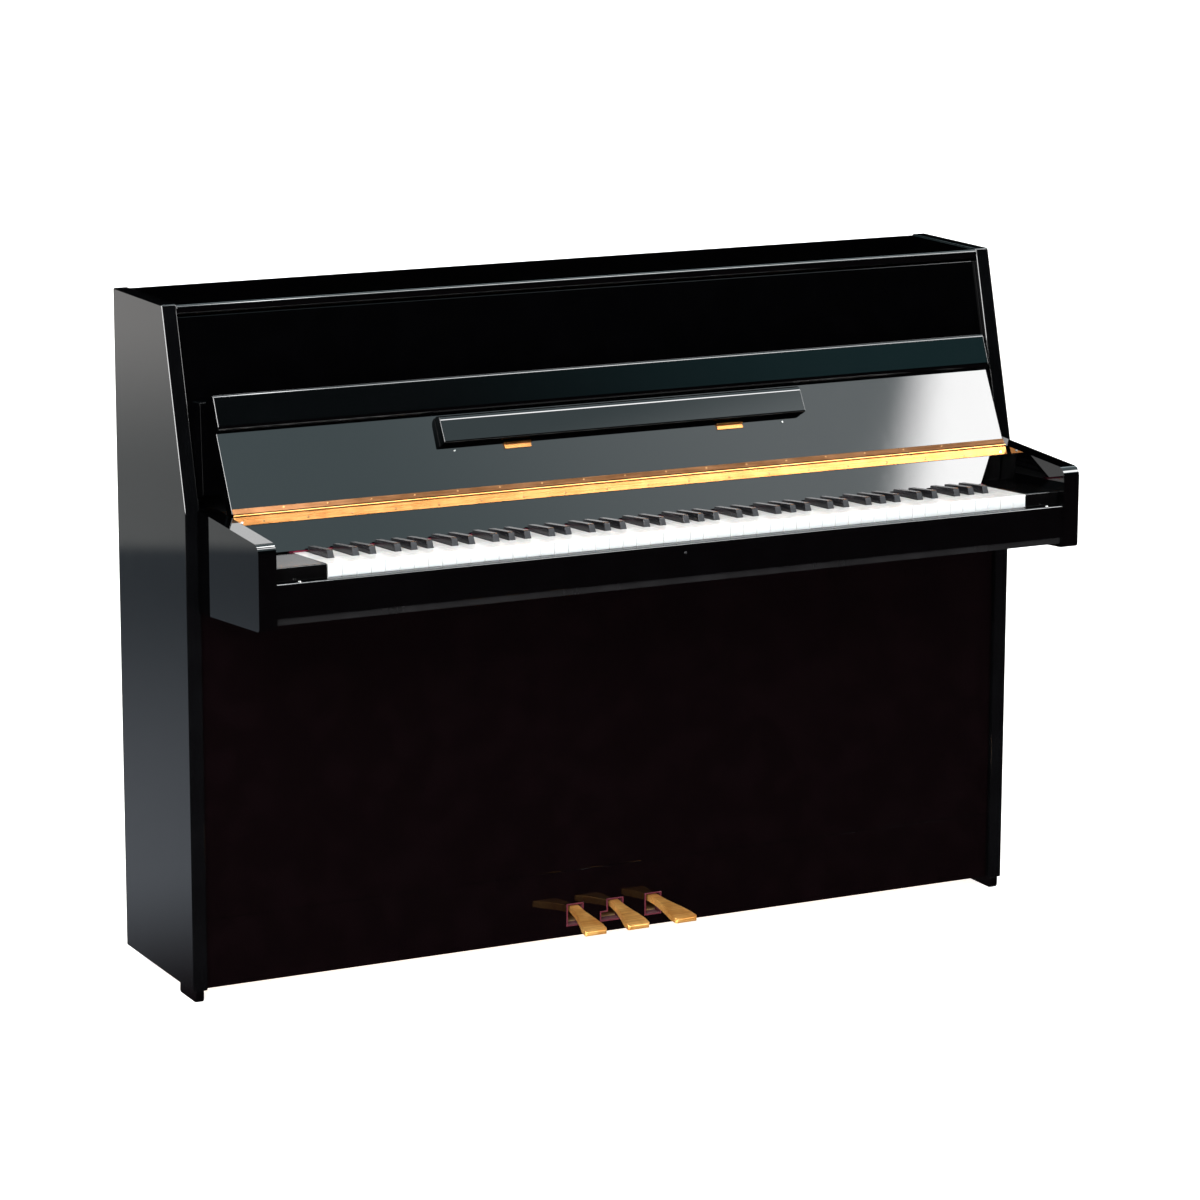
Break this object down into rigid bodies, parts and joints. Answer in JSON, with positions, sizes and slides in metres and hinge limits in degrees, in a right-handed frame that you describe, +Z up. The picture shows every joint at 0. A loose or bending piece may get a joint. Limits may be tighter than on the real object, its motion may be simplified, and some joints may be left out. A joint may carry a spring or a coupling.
{
  "type": "upright piano",
  "caption": "Upright piano in polished black with a slanted upper front, open fallboard with folding desk, full keyboard, brass pedals and a lifting lid.",
  "frame": {"origin": "on the floor, at the middle of the footprint's bounding box", "axes": "+X to the treble end, +Y to the back, +Z up; the player sits on the -Y side"},
  "size_m": [1.48, 0.53, 1.09],
  "materials": {
    "ebony": "polished black polyester over wood",
    "ivory": "glossy white acrylic",
    "sharp_black": "satin black",
    "brass": "polished brass",
    "red_felt": "red felt",
    "white_felt": "white felt",
    "pale_wood": "lacquered beech",
    "spruce": "varnished spruce",
    "gold_iron": "bronze-gold paint on cast iron",
    "steel": "bright steel wire",
    "black_iron": "black paint",
    "rubber": "black rubber over wood"
  },
  "bodies": {
    "case": {"side_left": "ebony", "side_right": "ebony", "toe_block_left": "ebony", "toe_block_right": "ebony", "arm_left": "ebony", "arm_right": "ebony", "key_bed": "ebony", "key_slip": "ebony", "key_block_left": "ebony", "key_block_right": "ebony", "upper_panel": "ebony", "lower_panel": "ebony", "kick_rail": "ebony", "fallboard_back": "ebony", "rear_foot_left": "rubber", "rear_foot_right": "rubber", "bottom_board": "pale_wood", "lid_hinge": "brass", "key_felt": "red_felt", "hinge_leaf_fixed": "brass", "key_frame": "pale_wood", "pedal_bracket": "black_iron", "back_frame": "pale_wood", "soundboard": "spruce", "iron_plate": "gold_iron", "pin_block": "pale_wood", "strings": "steel", "action_frame": "black_iron"},
    "top_lid": {"top_lid": "ebony"},
    "fallboard": {"fallboard_panel": "ebony", "fallboard_lip": "ebony", "hinge_leaf_moving": "brass", "desk_hinge_left": "brass", "desk_hinge_right": "brass"},
    "music_desk": {"music_desk": "ebony"},
    "naturals_bass": {"naturals_bass": "ivory"},
    "sharps_bass": {"sharps_bass": "sharp_black"},
    "naturals_treble": {"naturals_treble": "ivory"},
    "sharps_treble": {"sharps_treble": "sharp_black"},
    "key_c": {"key_c": "ivory"},
    "key_d": {"key_d": "ivory"},
    "key_e": {"key_e": "ivory"},
    "key_f": {"key_f": "ivory"},
    "key_g": {"key_g": "ivory"},
    "key_a": {"key_a": "ivory"},
    "key_b": {"key_b": "ivory"},
    "key_c_sharp": {"key_c_sharp": "sharp_black"},
    "key_d_sharp": {"key_d_sharp": "sharp_black"},
    "key_f_sharp": {"key_f_sharp": "sharp_black"},
    "key_g_sharp": {"key_g_sharp": "sharp_black"},
    "key_a_sharp": {"key_a_sharp": "sharp_black"},
    "pedal_soft": {"pedal_soft": "brass"},
    "pedal_muffler": {"pedal_muffler": "brass"},
    "pedal_sustain": {"pedal_sustain": "brass"},
    "dowel_soft": {"dowel_soft": "pale_wood"},
    "dowel_muffler": {"dowel_muffler": "pale_wood"},
    "dowel_sustain": {"dowel_sustain": "pale_wood"},
    "hammers": {"hammers": "white_felt"},
    "damper_rail": {"damper_rail": "white_felt"},
    "muffler_rail": {"muffler_rail": "red_felt"}
  },
  "joints": [
    {"name": "lid", "type": "hinge", "parent": "case", "child": "top_lid", "pos_m": [0, 0.2624, 1.071], "axis": [-1, 0, 0], "range_deg": [0, 100]},
    {"name": "fallboard", "type": "hinge", "parent": "case", "child": "fallboard", "pos_m": [0, -0.0903, 0.783], "axis": [1, 0, 0], "range_deg": [0, 121]},
    {"name": "desk", "type": "hinge", "parent": "fallboard", "child": "music_desk", "pos_m": [0, -0.05368, 0.85242], "axis": [-1, 0, 0], "range_deg": [-110, 0]},
    {"name": "naturals_bass", "type": "hinge", "parent": "case", "child": "naturals_bass", "pos_m": [0, -0.045, 0.7], "axis": [1, 0, 0], "range_deg": [0, 2.5], "stiffness_Nm_per_rad": 46, "springref_deg": -3.44},
    {"name": "sharps_bass", "type": "hinge", "parent": "case", "child": "sharps_bass", "pos_m": [0, -0.045, 0.7], "axis": [1, 0, 0], "range_deg": [0, 2.5], "stiffness_Nm_per_rad": 32, "springref_deg": -3.44},
    {"name": "naturals_treble", "type": "hinge", "parent": "case", "child": "naturals_treble", "pos_m": [0, -0.045, 0.7], "axis": [1, 0, 0], "range_deg": [0, 2.5], "stiffness_Nm_per_rad": 44, "springref_deg": -3.44},
    {"name": "sharps_treble", "type": "hinge", "parent": "case", "child": "sharps_treble", "pos_m": [0, -0.045, 0.7], "axis": [1, 0, 0], "range_deg": [0, 2.5], "stiffness_Nm_per_rad": 30, "springref_deg": -3.44},
    {"name": "key_c", "type": "hinge", "parent": "case", "child": "key_c", "pos_m": [0, -0.045, 0.7], "axis": [1, 0, 0], "range_deg": [0, 2.5], "stiffness_Nm_per_rad": 2, "springref_deg": -3.44},
    {"name": "key_d", "type": "hinge", "parent": "case", "child": "key_d", "pos_m": [0, -0.045, 0.7], "axis": [1, 0, 0], "range_deg": [0, 2.5], "stiffness_Nm_per_rad": 2, "springref_deg": -3.44},
    {"name": "key_e", "type": "hinge", "parent": "case", "child": "key_e", "pos_m": [0, -0.045, 0.7], "axis": [1, 0, 0], "range_deg": [0, 2.5], "stiffness_Nm_per_rad": 2, "springref_deg": -3.44},
    {"name": "key_f", "type": "hinge", "parent": "case", "child": "key_f", "pos_m": [0, -0.045, 0.7], "axis": [1, 0, 0], "range_deg": [0, 2.5], "stiffness_Nm_per_rad": 2, "springref_deg": -3.44},
    {"name": "key_g", "type": "hinge", "parent": "case", "child": "key_g", "pos_m": [0, -0.045, 0.7], "axis": [1, 0, 0], "range_deg": [0, 2.5], "stiffness_Nm_per_rad": 2, "springref_deg": -3.44},
    {"name": "key_a", "type": "hinge", "parent": "case", "child": "key_a", "pos_m": [0, -0.045, 0.7], "axis": [1, 0, 0], "range_deg": [0, 2.5], "stiffness_Nm_per_rad": 2, "springref_deg": -3.44},
    {"name": "key_b", "type": "hinge", "parent": "case", "child": "key_b", "pos_m": [0, -0.045, 0.7], "axis": [1, 0, 0], "range_deg": [0, 2.5], "stiffness_Nm_per_rad": 2, "springref_deg": -3.44},
    {"name": "key_c_sharp", "type": "hinge", "parent": "case", "child": "key_c_sharp", "pos_m": [0, -0.045, 0.7], "axis": [1, 0, 0], "range_deg": [0, 2.5], "stiffness_Nm_per_rad": 2, "springref_deg": -3.44},
    {"name": "key_d_sharp", "type": "hinge", "parent": "case", "child": "key_d_sharp", "pos_m": [0, -0.045, 0.7], "axis": [1, 0, 0], "range_deg": [0, 2.5], "stiffness_Nm_per_rad": 2, "springref_deg": -3.44},
    {"name": "key_f_sharp", "type": "hinge", "parent": "case", "child": "key_f_sharp", "pos_m": [0, -0.045, 0.7], "axis": [1, 0, 0], "range_deg": [0, 2.5], "stiffness_Nm_per_rad": 2, "springref_deg": -3.44},
    {"name": "key_g_sharp", "type": "hinge", "parent": "case", "child": "key_g_sharp", "pos_m": [0, -0.045, 0.7], "axis": [1, 0, 0], "range_deg": [0, 2.5], "stiffness_Nm_per_rad": 2, "springref_deg": -3.44},
    {"name": "key_a_sharp", "type": "hinge", "parent": "case", "child": "key_a_sharp", "pos_m": [0, -0.045, 0.7], "axis": [1, 0, 0], "range_deg": [0, 2.5], "stiffness_Nm_per_rad": 2, "springref_deg": -3.44},
    {"name": "pedal_soft", "type": "hinge", "parent": "case", "child": "pedal_soft", "pos_m": [0, 0.09, 0.062], "axis": [1, 0, 0], "range_deg": [0, 4], "stiffness_Nm_per_rad": 60, "springref_deg": -6.88},
    {"name": "dowel_soft", "type": "slide", "parent": "case", "child": "dowel_soft", "axis": [0, 0, 1], "range_m": [0, 0.0031]},
    {"name": "pedal_muffler", "type": "hinge", "parent": "case", "child": "pedal_muffler", "pos_m": [0, 0.09, 0.062], "axis": [1, 0, 0], "range_deg": [0, 4], "stiffness_Nm_per_rad": 60, "springref_deg": -6.88},
    {"name": "dowel_muffler", "type": "slide", "parent": "case", "child": "dowel_muffler", "axis": [0, 0, 1], "range_m": [0, 0.0031]},
    {"name": "pedal_sustain", "type": "hinge", "parent": "case", "child": "pedal_sustain", "pos_m": [0, 0.09, 0.062], "axis": [1, 0, 0], "range_deg": [0, 4], "stiffness_Nm_per_rad": 60, "springref_deg": -6.88},
    {"name": "dowel_sustain", "type": "slide", "parent": "case", "child": "dowel_sustain", "axis": [0, 0, 1], "range_m": [0, 0.0031]},
    {"name": "hammer_rest", "type": "hinge", "parent": "case", "child": "hammers", "pos_m": [0, 0.08, 0.82], "axis": [-1, 0, 0], "range_deg": [0, 3]},
    {"name": "damper_lift", "type": "slide", "parent": "case", "child": "damper_rail", "axis": [0, -1, 0], "range_m": [0, 0.004]},
    {"name": "muffler_drop", "type": "slide", "parent": "case", "child": "muffler_rail", "axis": [0, 0, -1], "range_m": [0, 0.02]}
  ],
  "couplings": [
    {"joint": "dowel_soft", "follows": "pedal_soft", "m_per_rad": 0.043974},
    {"joint": "dowel_muffler", "follows": "pedal_muffler", "m_per_rad": 0.043974},
    {"joint": "dowel_sustain", "follows": "pedal_sustain", "m_per_rad": 0.043974},
    {"joint": "hammer_rest", "follows": "pedal_soft", "ratio": 0.745},
    {"joint": "damper_lift", "follows": "pedal_sustain", "m_per_rad": 0.05658},
    {"joint": "muffler_drop", "follows": "pedal_muffler", "m_per_rad": 0.28361}
  ]
}
